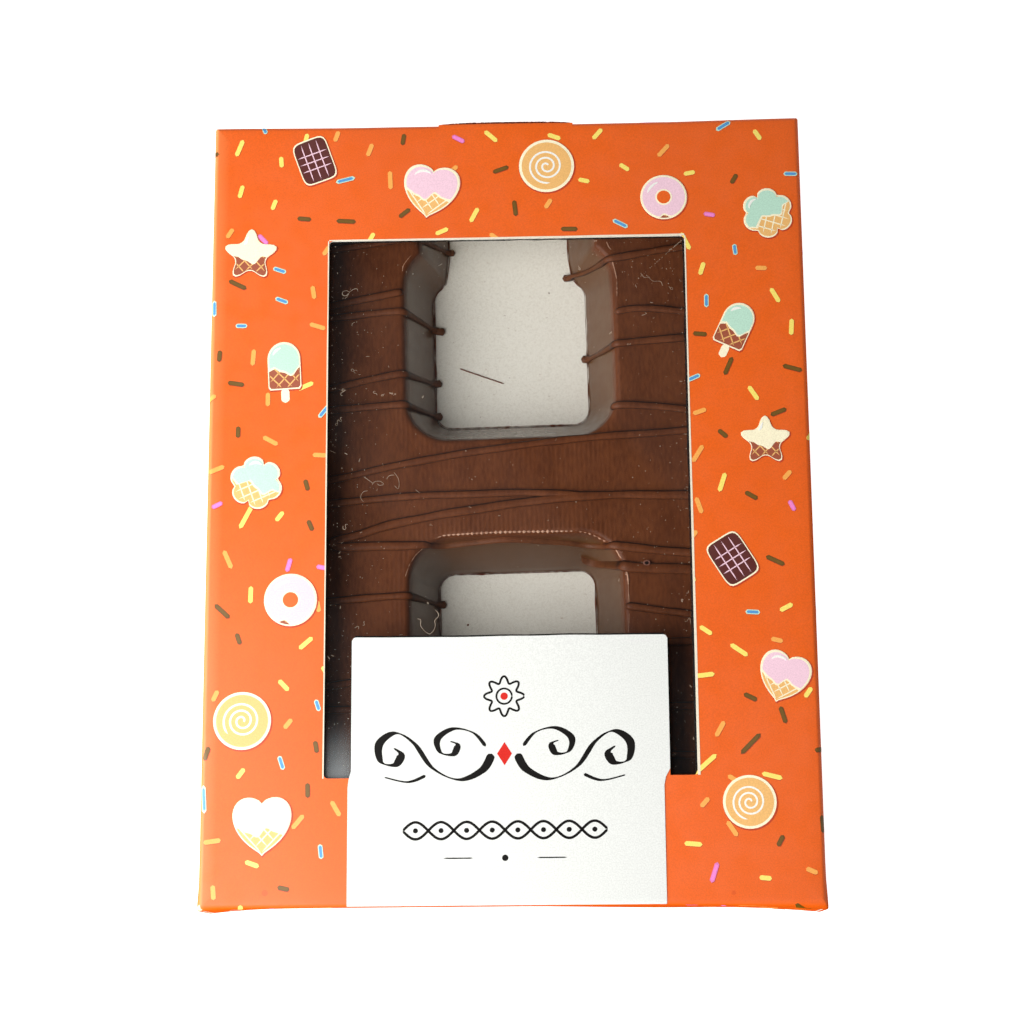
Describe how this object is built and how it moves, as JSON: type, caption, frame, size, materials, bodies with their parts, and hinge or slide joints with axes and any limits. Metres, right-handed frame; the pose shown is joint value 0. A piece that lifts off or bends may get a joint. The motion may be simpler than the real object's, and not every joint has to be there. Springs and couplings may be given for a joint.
{
  "type": "chocolate letter in a window carton",
  "caption": "Flat slab-serif chocolate letter with chocolate drizzle, shut in a printed folding carton with a clear film window and a label tab.",
  "frame": {"origin": "middle of the carton's underside, on the surface that it lies on", "axes": "+Z out of the printed front, +Y towards the top of the letter, +X to the right of the pack as it is read"},
  "size_m": [0.1006, 0.133, 0.018],
  "materials": {
    "printed_board": "satin printed carton board",
    "clear_film": "thin clear gloss film",
    "milk_chocolate": "satin milk chocolate with fine ribs on its face"
  },
  "bodies": {
    "root": {"carton": "printed_board", "window_film": "clear_film", "letter": "milk_chocolate"}
  },
  "joints": []
}
